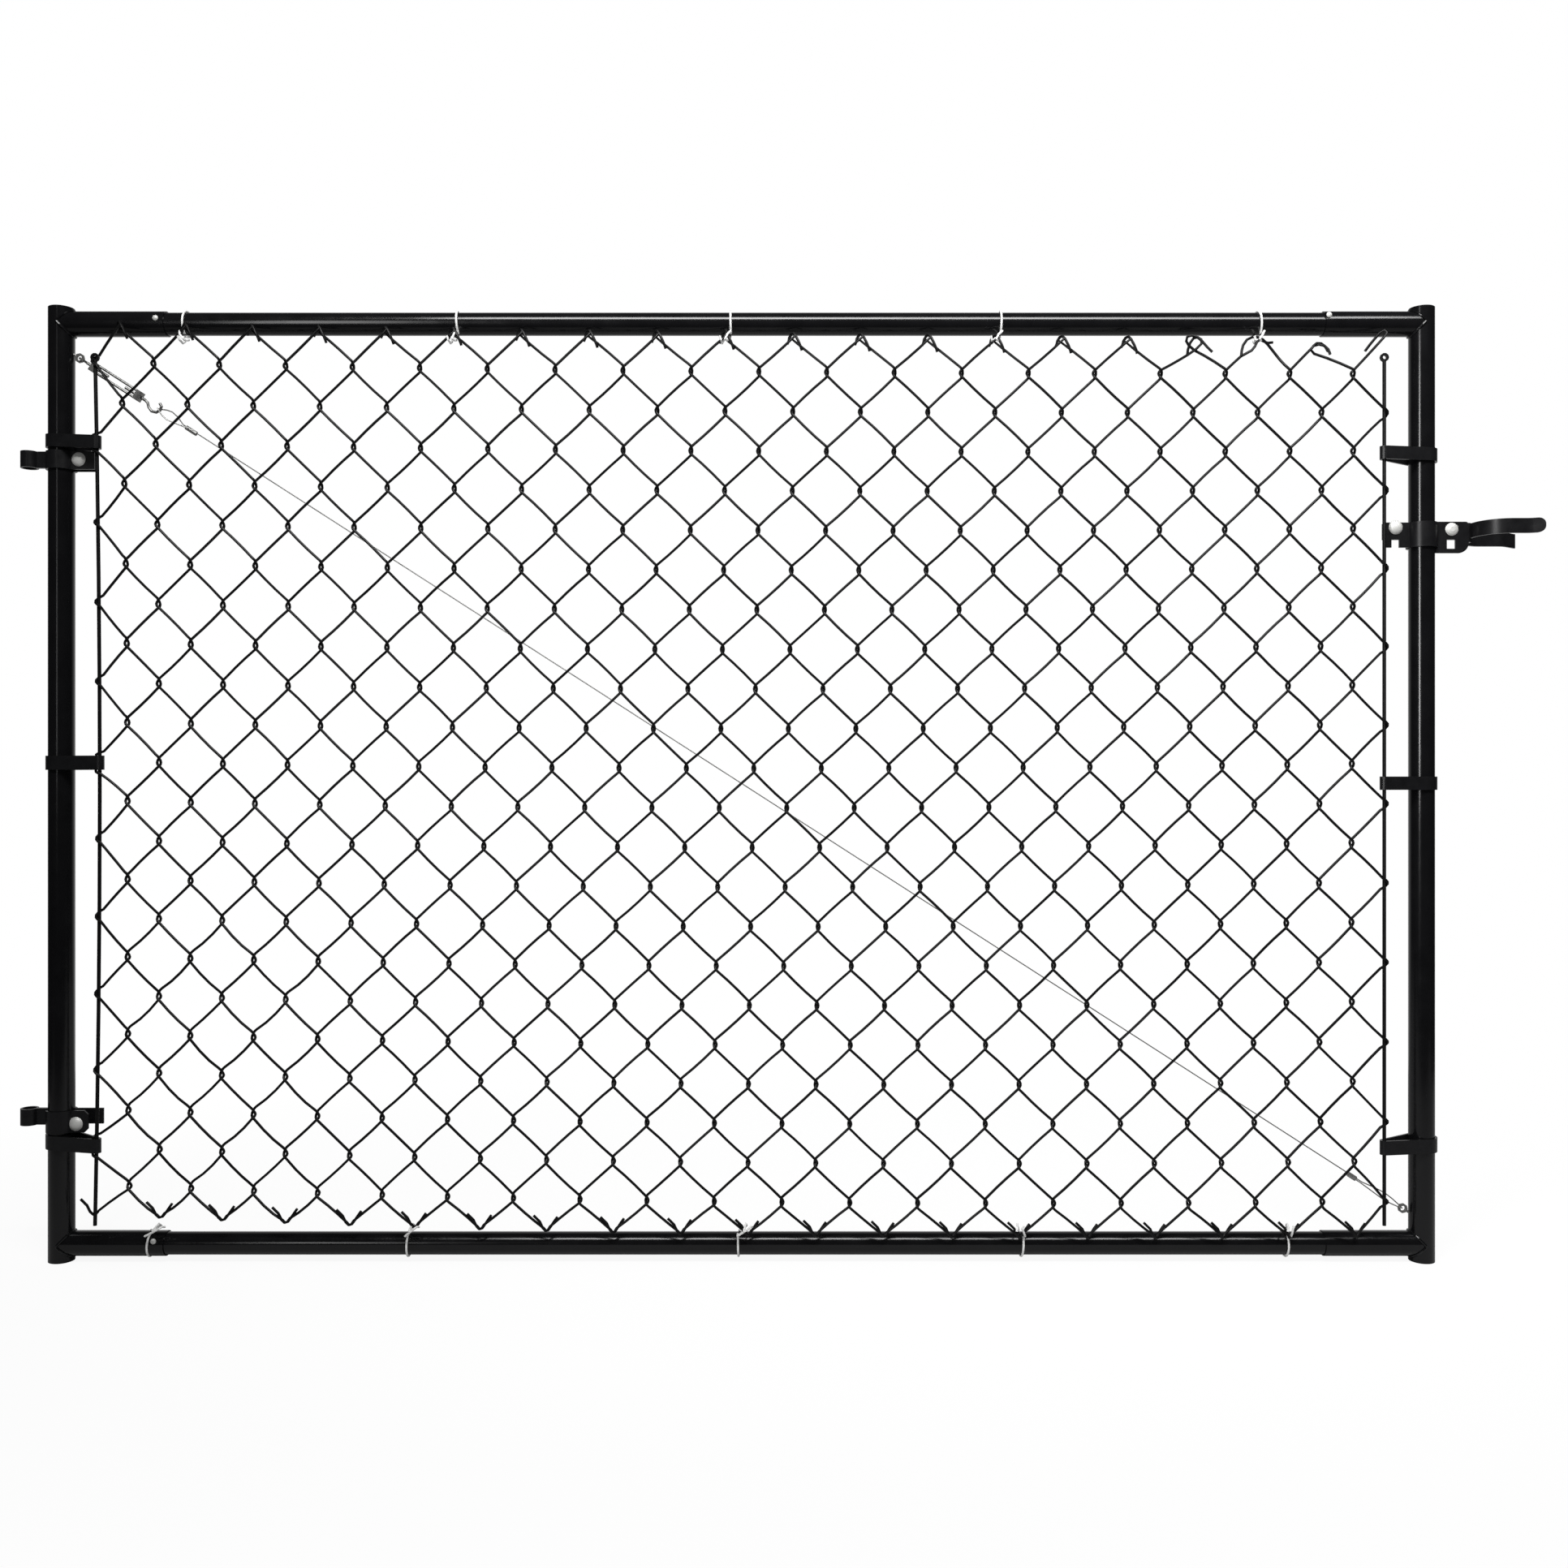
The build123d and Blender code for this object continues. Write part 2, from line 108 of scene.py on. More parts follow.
# Upper ends that were never knuckled tight, by column and side: x and z along each, tip first.
LOOSE_ENDS = {
    (33, -1): (
        (1.4683, 0.9796), (1.4689, 0.9868), (1.4714, 0.9950), (1.4755, 1.0007), (1.4807, 1.0017),
        (1.4848, 0.9986), (1.4848, 0.9930), (1.4776, 0.9858), (1.4673, 0.9786),
    ),
    (33, 1): (
        (1.4976, 0.9817), (1.4910, 0.9888), (1.4858, 0.9955), (1.4796, 1.0012), (1.4725, 1.0037),
        (1.4673, 1.0022), (1.4663, 0.9971), (1.4699, 0.9919), (1.4776, 0.9858),
    ),
    (35, -1): (
        (1.5768, 0.9964), (1.5701, 0.9954), (1.5649, 0.9969), (1.5598, 0.9988), (1.5557, 0.9960),
        (1.5526, 0.9899), (1.5480, 0.9842), (1.5341, 0.9765),
    ),
    (35, 1): (
        (1.5341, 0.9765), (1.5351, 0.9837), (1.5372, 0.9909), (1.5423, 0.9981), (1.5495, 1.0017),
        (1.5567, 1.0017), (1.5634, 0.9991), (1.5701, 0.9930), (1.5804, 0.9806),
    ),
    (37, -1): (
        (1.6471, 0.9847), (1.6430, 0.9904), (1.6369, 0.9942), (1.6312, 0.9940), (1.6266, 0.9904),
        (1.6235, 0.9868),
    ),
    (37, 1): (
        (1.6466, 0.9786), (1.6446, 0.9853), (1.6400, 0.9904), (1.6338, 0.9924), (1.6276, 0.9909),
        (1.6245, 0.9863), (1.6292, 0.9817),
    ),
    (39, -1): (
        (1.6939, 0.9853), (1.6990, 0.9924), (1.7052, 1.0002), (1.7109, 1.0068), (1.7165, 1.0099),
        (1.7191, 1.0063), (1.7145, 1.0002),
    ),
}

# The ties, by the picture column of each along its rail.
TOP_TIES = (232, 565, 901, 1233, 1549)
BOTTOM_TIES = (187, 505, 911, 1258, 1583)
TIE_STEPS = 24
TIE_START = -62
TIE_TURN = 312

# Bolts, by x, z and half the depth that they clamp. Screws and their rails, by x and z.
CARRIAGE_BOLTS = ((0.0570, 0.8500, 0.0085), (0.0535, 0.0024, 0.0085), (1.7375, 0.7635, 0.0063))
SHANK_R = 0.0038
BOLT_END = 0.0128
NUT_R = 0.0073
NUT_DEPTH = 0.0066
NUT_MIDDLE = 0.0047
LOCK_SCREWS = ((0.1580, 1.0280), (1.6490, 1.0320), (0.1555, -0.1450))
SCREW_Y = -0.0158

WELD_R = 0.0017
WELD_STEPS = 72
WELD_ROUNDING = 0.0000012

# The truss cable's rise over its run.
CABLE_RISE = 1.0983
CABLE_RUN = 1.7093

# Name, place, target, width, height, power and spread in degrees.
LAMPS = (
    ("top_softbox", (1.36, -1.57, 2.60), (1.36, 0, 1.3), 2.70, 0.72, 39.0, 90),
    ("left_strip", (-0.43, -2.63, 1.20), (1.77, 0.0, 0.95), 0.50, 1.50, 6.6, 60),
)
ROOM_LIGHT = 0.32
DARK_FRONT = 0.02
FLOOR_HALF = (2.0, 1.2)
FLOOR_Y = 0.1
FLOOR_NEAR = (1.9, 1.1)


def size_field(name, description, default):
    return bpy.props.FloatProperty(
        name=name, description=description, default=default, subtype="DISTANCE", unit="LENGTH")


def colour_field(name, description, default):
    return bpy.props.FloatVectorProperty(
        name=name, description=description, subtype="COLOR", size=3, default=default)


class GateSizes(bpy.types.PropertyGroup):
    wire: size_field("Fabric wire", "Diameter of the coated fabric wire", 0.00345)
    layer: size_field(
        "Layer spread", "How far each layer of legs lies from the middle of the fabric", 0.0040)
    hook: size_field("Hook bulge", "How far a bend reaches past its column", 0.00176)
    tie: size_field("Tie wire", "Diameter of the aluminium tie wire", 0.0028)
    bolt_head: size_field("Bolt head", "Radius of a carriage bolt head", 0.0090)


class GateColours(bpy.types.PropertyGroup):
    coat: colour_field(
        "Powder coat", "Colour of the powder-coated steel", (0.0036, 0.0036, 0.0040))
    wire: colour_field(
        "Wire coat", "Colour of the polymer coat on the fabric wire", (0.0026, 0.0026, 0.0028))
    zinc: colour_field("Zinc", "Colour of the zinc plate on bolts", (0.62, 0.62, 0.60))
    aluminium: colour_field("Aluminium", "Colour of the tie wires", (0.92, 0.92, 0.91))
    cable: colour_field("Cable", "Colour of the galvanised cable", (0.34, 0.34, 0.33))


class Sock:
    """A shader output that takes part in plain Python maths."""

    def __init__(self, paint, out):
        self.paint = paint
        self.out = out

    def other(self, name):
        """Another output of the same node."""
        return Sock(self.paint, self.out.node.outputs[name])

    def maths(self, operation, a, b):
        return self.paint.node("ShaderNodeMath", {"operation": operation}, {0: a, 1: b})

    def larger(self, other):
        return self.maths("MAXIMUM", self, other)

    def __add__(self, other):
        return self.maths("ADD", self, other)

    __radd__ = __add__

    def __sub__(self, other):
        return self.maths("SUBTRACT", self, other)

    def __rsub__(self, other):
        return self.maths("SUBTRACT", other, self)

    def __mul__(self, other):
        return self.maths("MULTIPLY", self, other)

    __rmul__ = __mul__


class Paint:
    """The nodes of a material or of the world."""

    def __init__(self, holder):
        holder.use_nodes = True
        self.holder = holder
        self.tree = holder.node_tree
        self.tree.nodes.clear()

    def node(self, kind, settings=None, values=None, out=0):
        """Makes a node, sets it up, and gives its sockets their values or links."""
        made = self.tree.nodes.new(kind)
        for key, value in (settings or {}).items():
            setattr(made, key, value)
        for key, value in (values or {}).items():
            socket = made.inputs[key]
            if isinstance(value, Sock):
                self.tree.links.new(value.out, socket)
            elif socket.type == "RGBA" and len(value) == 3:
                socket.default_value = (*value, 1.0)
            else:
                socket.default_value = value
        return Sock(self, made.outputs[out]) if made.outputs else None

    def place(self, turn=(0, 0, 0)):
        spot = self.node("ShaderNodeTexCoord", out="Object")
        return self.node("ShaderNodeMapping", {}, {"Vector": spot, "Rotation": turn})

    def noise(self, scale, detail):
        values = {"Vector": self.place(), "Scale": scale, "Detail": detail, "Roughness": 0.55}
        return self.node("ShaderNodeTexNoise", {}, values)

    def mix(self, factor, a, b):
        return self.node("ShaderNodeMix", {"data_type": "RGBA"}, {0: factor, 6: a, 7: b}, out=2)

    def bump(self, height, distance, strength=0.5):
        values = {"Height": height, "Distance": distance, "Strength": strength}
        return self.node("ShaderNodeBump", {}, values)

    def shader_mix(self, factor, a, b):
        return self.node("ShaderNodeMixShader", {}, {0: factor, 1: a, 2: b})

    def surface(self, **values):
        """Ends a material in one Principled shader, whose sockets are named by keywords."""
        names = {
            key.replace("_", " ").title().replace("Ior", "IOR"): value
            for key, value in values.items()
        }
        self.end(self.node("ShaderNodeBsdfPrincipled", {}, names))
        return self.holder

    def end(self, shader, kind="ShaderNodeOutputMaterial"):
        self.node(kind, {}, {"Surface": shader})


def gate_sizes():
    return bpy.context.scene.gate_sizes


def shades(colour, dark, light):
    """A darker and a lighter shade of one of the gate's colours."""
    plain = tuple(getattr(bpy.context.scene.gate_colours, colour))
    return tuple(c * dark for c in plain), tuple(c * light for c in plain)


@functools.cache
def powder_coat():
    """Glossy black powder coat with faint orange peel and a little dust in the gloss."""
    paint = Paint(bpy.data.materials.new("black_powder_coat"))
    haze = paint.noise(38.0, 4.0)
    peel = paint.noise(420.0, 2.0)
    base = paint.mix(haze, *shades("coat", 0.7, 1.5))
    bump = paint.bump(peel, 0.00002)
    return paint.surface(
        base_color=base, roughness=haze * 0.12 + 0.10, specular_ior_level=0.30, normal=bump)


@functools.cache
def wire_coat():
    """Black polymer coat on wire, a little duller than the frame, with a faint drawn texture."""
    paint = Paint(bpy.data.materials.new("black_wire_coat"))
    patch = paint.noise(60.0, 4.0)
    grain = paint.noise(1400.0, 2.0)
    base = paint.mix(patch, *shades("wire", 0.7, 1.6))
    bump = paint.bump(grain, 0.00001)
    return paint.surface(
        base_color=base, roughness=patch * 0.14 + 0.34, specular_ior_level=0.16, normal=bump)


@functools.cache
def fitting_coat():
    """Black coat on pressed fittings, rougher and less even than on the tubes."""
    paint = Paint(bpy.data.materials.new("black_fitting_coat"))
    haze = paint.noise(90.0, 5.0)
    peel = paint.noise(760.0, 3.0)
    base = paint.mix(haze, *shades("coat", 0.9, 2.2))
    bump = paint.bump(peel, 0.00003)
    return paint.surface(
        base_color=base, roughness=haze * 0.16 + 0.26, specular_ior_level=0.22, normal=bump)


@functools.cache
def zinc_plate():
    """Bright zinc plate with soft cloudy patches and a fine grain."""
    paint = Paint(bpy.data.materials.new("zinc_plate"))
    cloud = paint.noise(150.0, 3.0)
    fine = paint.noise(1500.0, 3.0)
    base = paint.mix(cloud, *shades("zinc", 0.84, 1.0))
    bump = paint.bump(fine, 0.00001)
    return paint.surface(
        base_color=base, metallic=0.45, roughness=cloud * 0.14 + 0.50, normal=bump)


@functools.cache
def tie_metal():
    """Soft aluminium wire with a dull, lightly scratched skin."""
    paint = Paint(bpy.data.materials.new("aluminium_wire"))
    scuff = paint.noise(420.0, 4.0)
    base = paint.mix(scuff, *shades("aluminium", 0.78, 1.0))
    bump = paint.bump(scuff, 0.00001)
    return paint.surface(
        base_color=base, metallic=0.25, roughness=scuff * 0.16 + 0.42, normal=bump)


@functools.cache
def cable_metal():
    """Galvanised cable whose laid strands show as slanting bands along its length: bumped, and
    with painted shade in the grooves between strands.
    """
    paint = Paint(bpy.data.materials.new("galvanised_cable"))
    along = paint.place((0, -math.atan2(CABLE_RISE, CABLE_RUN), 0))
    lay = paint.node(
        "ShaderNodeTexWave", {"wave_type": "BANDS", "bands_direction": "DIAGONAL"},
        {"Vector": along, "Scale": 260.0, "Distortion": 0.4}, out=1)
    grime = paint.noise(130.0, 4.0)
    # Painted shade: the strand colour is darker in the grooves between the laid strands and
    # lighter on their crowns.
    groove_shaded_strands = paint.mix(lay, *shades("cable", 0.7, 1.0))
    base = paint.mix(grime, groove_shaded_strands, shades("cable", 0.8, 1.0)[0])
    bump = paint.bump(lay, 0.0001, 0.4)
    return paint.surface(
        base_color=base, metallic=0.75, roughness=grime * 0.2 + 0.38, normal=bump)


@functools.cache
def dull_zinc():
    """Dull grey zinc of the cast turnbuckle, its hook and the eye screws."""
    paint = Paint(bpy.data.materials.new("dull_zinc"))
    cloud = paint.noise(260.0, 4.0)
    base = paint.mix(cloud, *shades("cable", 0.35, 0.65))
    bump = paint.bump(cloud, 0.00002)
    return paint.surface(
        base_color=base, metallic=0.8, roughness=cloud * 0.2 + 0.34, normal=bump)


# Words in the names of the carried-over solids, and their finish. A later row wins.
SOLID_FINISHES = (
    (("upright", "stub", "rail"), powder_coat),
    (("band", "hinge", "clamp", "fork"), fitting_coat),
    (("tension_bar", "fabric"), wire_coat),
    (("pivot_bolt",), zinc_plate),
    (("turnbuckle", "eye_screw"), dull_zinc),
    (("truss_cable", "cable_sleeve"), cable_metal),
)


def dress(mesh, material):
    mesh.materials.clear()
    mesh.materials.append(material)


def keep_piece(name, mesh, material):
    """Makes a finished mesh a piece that moves with the leaf."""
    piece = bpy.data.objects.new(name, mesh)
    bpy.context.scene.collection.objects.link(piece)
    dress(mesh, material)
    mesh.polygons.foreach_set("use_smooth", [True] * len(mesh.polygons))
    mesh.set_sharp_from_angle(angle=math.radians(40))
    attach(piece, LEAF)
    return piece


def wire_piece(name, paths, radius, material):
    """Round wires that follow lists of points, as one mesh."""
    curve = bpy.data.curves.new(name + "_line", "CURVE")
    curve.dimensions = "3D"
    curve.bevel_depth = radius
    curve.bevel_resolution = 2
    curve.use_fill_caps = True
    for points in paths:
        line = curve.splines.new("POLY")
        line.points.add(len(points) - 1)
        for spot, point in zip(line.points, points):
            spot.co = (*point, 1.0)
    holder = bpy.data.objects.new(name + "_line", curve)
    bpy.context.scene.collection.objects.link(holder)
    bpy.context.view_layer.update()
    evaluated = holder.evaluated_get(bpy.context.evaluated_depsgraph_get())
    mesh = bpy.data.meshes.new_from_object(evaluated)
    bpy.data.objects.remove(holder)
    bpy.data.curves.remove(curve)
    mesh.name = name
    work = bmesh.new()
    work.from_mesh(mesh)
    bmesh.ops.remove_doubles(work, verts=work.verts, dist=1e-6)
    bmesh.ops.recalc_face_normals(work, faces=work.faces)
    work.to_mesh(mesh)
    work.free()
    return keep_piece(name, mesh, material)


def solid_piece(name, work, material):
    bmesh.ops.recalc_face_normals(work, faces=work.faces)
    mesh = bpy.data.meshes.new(name)
    work.to_mesh(mesh)
    work.free()
    return keep_piece(name, mesh, material)


def turned(work, profile, place, steps=24):
    """Spins a profile of (radius, height) about Z, moves it with a matrix and adds it to work."""
    lathe = bmesh.new()
    verts = [lathe.verts.new((radius, 0, height)) for radius, height in profile]
    edges = [lathe.edges.new(pair) for pair in zip(verts, verts[1:])]
    bmesh.ops.spin(
        lathe, geom=verts + edges, cent=(0, 0, 0), axis=(0, 0, 1), dvec=(0, 0, 0),
        angle=math.tau, steps=steps, use_merge=True, use_duplicate=False)
    bmesh.ops.remove_doubles(lathe, verts=lathe.verts, dist=1e-6)
    bmesh.ops.transform(lathe, matrix=place, verts=lathe.verts)
    mesh = bpy.data.meshes.new("turned")
    lathe.to_mesh(mesh)
    lathe.free()
    work.from_mesh(mesh)
    bpy.data.meshes.remove(mesh)


def left_bar_x(z):
    """The left tension bar bows a little between its bands."""
    middle = (BAR_TOP + BAR_BOTTOM) / 2
    part = (z - middle) / ((BAR_TOP - BAR_BOTTOM) / 2)
    return LEFT_BAR_X + LEFT_BAR_BOW * (0.55 - part * part)


def crossing(column, row):
    """Where two pickets hook each other, on fabric that is stretched slightly out of true."""
    u = (column - HALF_COLUMNS) / HALF_COLUMNS
    v = (row - MIDDLE_ROW) / HALF_ROWS
    # Millimetres from the middle of the leaf.
    x = -60.1 + 832.9 * u - 11.8 * v + 4.3 * u * u - 2.2 * u * v - 17.8 * u**3
    x += 12.5 * u * u * v + 3.9 * u * v * v + 5.4 * v**3
    z = -5.0 - 4.0 * u - 576.4 * v + 7.8 * u * u - 1.6 * u * v + 2.4 * v * v
    z += 3.6 * u * u * v - 8.5 * u * v * v + 1.1 * v**3
    x = MIDDLE_X + x / 1000
    z = MIDDLE_Z + z / 1000
    if column == 0:
        x = left_bar_x(z)
    if column == COLUMNS:
        x = RIGHT_BAR_X
    return x, z


def stretched_band(column, row):
    """Height and width of the band that a turn of wire has to pass round, if any."""
    for band_row, z, width in LEFT_BANDS:
        if column == 0 and band_row == row:
            return z, width
    return None


def shifted(x, z, shape):
    return [(x + dx, FABRIC_Y + dy, z + dz) for dx, dy, dz in shape]


def bend(column, row, side):
    """Points of one bend. side is 1 where a picket bends on its right and -1 on its left."""
    sizes = gate_sizes()
    x, z = crossing(column, row)
    first = -side * sizes.layer
    edge = column in (0, COLUMNS)
    reach = EDGE_REACH if edge else sizes.hook
    lead = EDGE_LEAD if edge else LEAD
    band = stretched_band(column, row)
    rise = 0.0
    tall = 1.0
    if band:
        z = band[0]
        x = left_bar_x(z)
        rise = band[1] / 2 + BAND_ROOM
        reach = BAND_REACH
        tall = BAND_TALL
    shape = [
        (-side * lead, first, 0.0072 * tall + rise),
        (side * reach * 0.10, first * 0.97, 0.0050 * tall + rise),
        (side * reach * 0.72, first * 0.68, 0.0026 * tall + rise),
        (side * reach, first * 0.10, 0.0002 + rise) if band else (side * reach, 0.0, 0.0),
    ]
    lower = [(dx, -dy, -dz) for dx, dy, dz in reversed(shape)]
    return shifted(x, z, shape + (lower if band else lower[1:]))


def loose_end(column, side):
    """Upper end of a picket that was never knuckled tight, from its tip to its leg."""
    deep = gate_sizes().layer
    spots = LOOSE_ENDS[(column, side)]
    last = len(spots) - 1
    return [
        (x, FABRIC_Y + deep * side * (1.9 * step / last - 1.05), z)
        for step, (x, z) in enumerate(spots)
    ]


def top_tail(column, side):
    """Upper end of a picket: over the top of its neighbour and folded back down."""
    if (column, side) in LOOSE_ENDS:
        return loose_end(column, side)
    deep = gate_sizes().layer
    x, z = crossing(column, -1)
    z -= 0.0035
    out = 1.0 if side > 0 else 0.62
    shape = [
        (side * 0.0105 * out, -deep * side * 1.05, -0.0165 * out),
        (side * 0.0078 * out, -deep * side * 1.15, -0.0100 * out),
        (side * 0.0042, -deep * side * 0.95, -0.0025),
        (side * 0.0017, -deep * side * 0.45, 0.0014),
        (-side * 0.0008, deep * side * 0.35, 0.0016),
        (-side * 0.0032, deep * side * 0.85, -0.0020),
    ]
    if side > 0:
        shape.insert(0, (0.0118, -deep * 0.80, -0.0205))
    return shifted(x, z, shape)


def bottom_tail(column, side):
    """Lower end of a picket: under its neighbour and folded back up."""
    deep = gate_sizes().layer
    x, z = crossing(column, LAST_ROW)
    z += 0.0085
    out = 1.0 if side > 0 else 1.3
    return shifted(x, z, [
        (-side * 0.0032, -deep * side * 0.85, 0.0030),
        (-side * 0.0008, -deep * side * 0.35, -0.0008),
        (side * 0.0017, deep * side * 0.45, -0.0006),
        (side * 0.0046, deep * side * 0.95, 0.0036),
        (side * 0.0082, deep * side * 1.12, 0.0090 * out),
        (side * 0.0125 * out, deep * side * 1.05, 0.0150 * out),
    ])


def sagging(start, end, amount):
    """Two points that bow a leg gently between its bends."""
    points = []
    for share in (0.33, 0.67):
        spot = [a + (b - a) * share for a, b in zip(start, end)]
        spot[2] += amount
        points.append(tuple(spot))
    return points


def picket(number):
    """One bent wire of the fabric, from its top tail to its bottom tail."""
    points = []
    for row in range(-1, LAST_ROW + 1):
        on_left = (number - 1 + row) % 2 == 0
        column = number - 1 if on_left else number
        side = -1 if on_left else 1
        if row == -1:
            part = top_tail(column, -side)
        elif row == LAST_ROW:
            part = bottom_tail(column, side)
        else:
            part = bend(column, row, side)
        if points:
            bow = WAVER * math.sin(number * 1.7 + row * 2.3)
            if number in SAGGED_PICKETS and row > SAGGED_BELOW_ROW:
                bow -= SAG
            points += sagging(points[-1], part[0], bow)
        points += part
    return points


class GATE_OT_finishes(bpy.types.Operator):
    """Give every carried-over solid its finish"""
    bl_idname = "gate.finishes"
    bl_label = "Finishes"

    def execute(self, context):
        for words, finish in SOLID_FINISHES:
            for name, node in nodes.items():
                if any(word in name for word in words):
                    dress(node.data, finish())
        return {"FINISHED"}


class GATE_OT_fabric(bpy.types.Operator):
    """Weave the chain link fabric from bent pickets, in three bays"""
    bl_idname = "gate.fabric"
    bl_label = "Fabric"

    def execute(self, context):
        radius = gate_sizes().wire / 2
        for bay, first, last in BAYS:
            paths = [picket(number) for number in range(first, last + 1)]
            piece = wire_piece("woven_" + bay, paths, radius, wire_coat())
            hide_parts("fabric_" + bay)
        return {"FINISHED"}


class GATE_OT_ties(bpy.types.Operator):
    """Tie the fabric to both rails with twisted aluminium wire"""
    bl_idname = "gate.ties"
    bl_label = "Tie wires"

    def execute(self, context):
        radius = gate_sizes().tie / 2
        rails = ((TOP_TIES, TOP_RAIL_Z, -1, -1), (BOTTOM_TIES, BOTTOM_RAIL_Z, 1, LAST_ROW))
        paths = []
        for places, z, toward, row in rails:
            for index, place in enumerate(places):
                x = MIDDLE_X + (place - PHOTO_WIDTH / 2) * PIXEL
                paths.append(tie_wire(x, z, toward, nearest_knuckle(x, row), radius, index))
        wire_piece("tie_wires", paths, radius, tie_metal())
        return {"FINISHED"}


def nearest_knuckle(x, row):
    columns = range(1 if row < 0 else 0, COLUMNS, 2)
    return min((crossing(column, row)[0] for column in columns), key=lambda spot: abs(spot - x))


def tie_wire(x, z, toward, hook_x, radius, index):
    """One tie: a turn round the rail whose two ends hook a knuckle of the fabric and curl over."""
    around = RAIL_R + radius + 0.0002
    lean = 0.0035 * math.sin(index * 2.1 + toward)
    turn = []
    for step in range(TIE_STEPS + 1):
        share = step / TIE_STEPS
        angle = math.radians(TIE_START + TIE_TURN * share)
        drift = lean * (0.5 - share) - 0.0016 * share
        turn.append((x + drift, -around * math.cos(angle), z - toward * around * math.sin(angle)))
    front = FABRIC_Y - 0.0074
    low = z + toward * 0.0225
    mid_x = (x + hook_x) / 2
    start = [
        (hook_x + 0.0046, FABRIC_Y + 0.0015, low + toward * 0.0042),
        (hook_x + 0.0034, front + 0.0030, low + toward * 0.0062),
        (hook_x + 0.0010, front, low + toward * 0.0048),
        (mid_x + lean * 0.5, front + 0.0010, low - toward * 0.0010),
        (x + lean * 0.5, front + 0.0062, low - toward * 0.0066),
    ]
    finish = [
        (mid_x - 0.0030, FABRIC_Y + 0.0072, low - toward * 0.0020),
        (hook_x - 0.0024, FABRIC_Y + 0.0070, low + toward * 0.0046),
        (hook_x - 0.0032, FABRIC_Y + 0.0020, low + toward * 0.0080),
        (hook_x - 0.0044, front + 0.0010, low + toward * 0.0056),
        (hook_x - 0.0058, front, low + toward * 0.0012),
    ]
    return start + turn + finish


class GATE_OT_bolts(bpy.types.Operator):
    """Make the carriage bolts of the hinges and the clamp, and the rail lock screws"""
    bl_idname = "gate.bolts"
    bl_label = "Bolts and screws"

    def execute(self, context):
        work = bmesh.new()
        for x, z, front in CARRIAGE_BOLTS:
            carriage_bolt(work, x, z, front, gate_sizes().bolt_head)
        solid_piece("carriage_bolts", work, zinc_plate())
        work = bmesh.new()
        for x, z in LOCK_SCREWS:
            lock_screw(work, x, z)
        solid_piece("lock_screws", work, zinc_plate())
        return {"FINISHED"}


def facing(x, y, z, degrees):
    """A place whose own Z axis points to the front at 90 degrees and to the back at -90."""
    return Matrix.Translation((x, y, z)) @ Matrix.Rotation(math.radians(degrees), 4, "X")


def carriage_bolt(work, x, z, front, head):
    """A domed head and its neck in front, and a washer, a nut and the bolt's end behind."""
    dome = [
        (0.0, 0.0042), (head * 0.35, 0.0040), (head * 0.68, 0.0030), (head * 0.90, 0.0016),
        (head, 0.0004), (head * 0.98, 0.0), (0.0039, 0.0), (0.0039, -0.0030), (0.0, -0.0030),
    ]
    turned(work, dome, facing(x, -front, z, 90))
    back = facing(x, front, z, -90)
    washer = [(0.0040, 0.0), (0.0088, 0.0), (0.0088, 0.0014), (0.0040, 0.0014), (0.0040, 0.0)]
    turned(work, washer, back)
    shank = [
        (0.0, -2 * front + 0.001), (SHANK_R, -2 * front + 0.001), (SHANK_R, 0.0120),
        (0.0032, BOLT_END), (0.0, BOLT_END),
    ]
    turned(work, shank, back, 16)
    nut = bmesh.ops.create_cone(
        work, cap_ends=True, segments=6, radius1=NUT_R, radius2=NUT_R, depth=NUT_DEPTH)["verts"]
    bmesh.ops.transform(work, matrix=back @ Matrix.Translation((0, 0, NUT_MIDDLE)), verts=nut)
    edges = list(dict.fromkeys(edge for vert in nut for edge in vert.link_edges))
    bmesh.ops.bevel(
        work, geom=edges, offset=0.0005, offset_type="OFFSET", affect="EDGES", segments=2,
        profile=0.5, material=-1)


def lock_screw(work, x, z):
    profile = [(0.0, 0.0024), (0.0022, 0.0022), (0.0034, 0.0012), (0.0036, 0.0), (0.0, -0.0010)]
    turned(work, profile, facing(x, SCREW_Y, z, 90), 16)


class GATE_OT_welds(bpy.types.Operator):
    """Lay the weld beads where the stub tubes meet the uprights"""
    bl_idname = "gate.welds"
    bl_label = "Weld beads"

    def execute(self, context):
        paths = [
            weld_line(x, side, z)
            for x, side in ((LEFT_X, 1), (RIGHT_X, -1))
            for z in (TOP_RAIL_Z, BOTTOM_RAIL_Z)
        ]
        wire_piece("weld_beads", paths, WELD_R, powder_coat())
        return {"FINISHED"}


def weld_line(x, side, z):
    """The saddle curve where a stub meets an upright, slightly uneven like a hand weld."""
    points = []
    for step in range(WELD_STEPS + 1):
        turn = math.tau * step / WELD_STEPS
        radius = UPRIGHT_R + 0.0003 + 0.0002 * math.sin(step * 2.4)
        away = radius * abs(math.cos(turn))
        away = math.sqrt(away * away + WELD_ROUNDING)
        points.append((x + side * away, radius * math.sin(turn), z + radius * math.cos(turn)))
    return points


class GATE_OT_stage(bpy.types.Operator):
    """Set the camera, the white room, its lights and the floor"""
    bl_idname = "gate.stage"
    bl_label = "Stage"

    def execute(self, context):
        scene = context.scene
        eye = bpy.data.cameras.new("camera")
        eye.sensor_width = SENSOR_WIDTH
        eye.lens = SENSOR_WIDTH * FOCAL_PIXELS / PHOTO_WIDTH
        camera = bpy.data.objects.new("camera", eye)
        camera.location = (MIDDLE_X, CAMERA_Y, MIDDLE_Z)
        camera.rotation_euler = (math.radians(90), 0, 0)
        scene.collection.objects.link(camera)
        scene.camera = camera
        white_room(scene)
        pale_floor(scene)
        for values in LAMPS:
            lamp(scene, *values)
        scene.view_settings.view_transform = "Standard"
        return {"FINISHED"}


